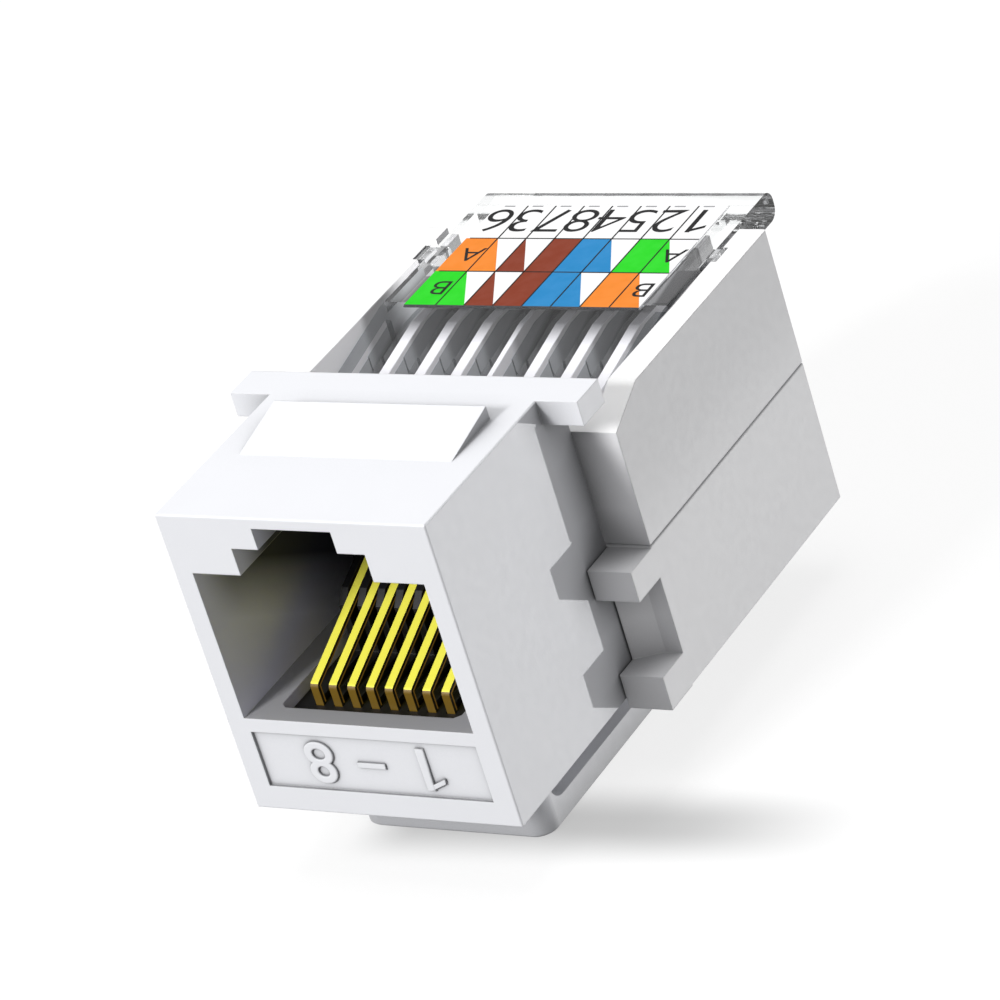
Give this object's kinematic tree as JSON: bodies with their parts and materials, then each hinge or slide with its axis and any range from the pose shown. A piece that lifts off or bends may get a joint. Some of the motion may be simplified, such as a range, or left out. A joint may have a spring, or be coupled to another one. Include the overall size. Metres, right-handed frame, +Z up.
{
  "type": "keystone jack",
  "caption": "Snap-in keystone jack: data plug socket in front, wire channels with blades under a clear labelled cap behind.",
  "frame": {"origin": "under the middle of the jack's length and width, on the flat underside of the latch arm", "axes": "+Z up, towards the snap wedge and the cap; the plug socket faces -Y and the wires come in at +Y"},
  "size_m": [0.0194, 0.0322, 0.0205],
  "materials": {
    "white_plastic": "fine satin moulding",
    "black_insert": "satin",
    "gold_spring": "gold plated strip",
    "tinned_blade": "tin plated",
    "board_laminate": "solder mask",
    "clear_plastic": "polished clear",
    "printed_label": "printed film"
  },
  "bodies": {
    "jack": {"front_body": "white_plastic", "contact_carrier": "black_insert", "circuit_board": "board_laminate", "upper_housing": "white_plastic", "lower_shell": "white_plastic", "contact_1": "gold_spring", "contact_2": "gold_spring", "contact_3": "gold_spring", "contact_4": "gold_spring", "contact_5": "gold_spring", "contact_6": "gold_spring", "contact_7": "gold_spring", "contact_8": "gold_spring", "idc_blade_1": "tinned_blade", "idc_blade_2": "tinned_blade", "idc_blade_3": "tinned_blade", "idc_blade_4": "tinned_blade", "idc_blade_5": "tinned_blade", "idc_blade_6": "tinned_blade", "idc_blade_7": "tinned_blade", "idc_blade_8": "tinned_blade"},
    "cap": {"clear_cap": "clear_plastic", "wiring_label": "printed_label"}
  },
  "joints": [
    {"name": "cap_lift", "type": "slide", "parent": "jack", "child": "cap", "axis": [0, 0, 1], "range_m": [0, 0.012]}
  ]
}
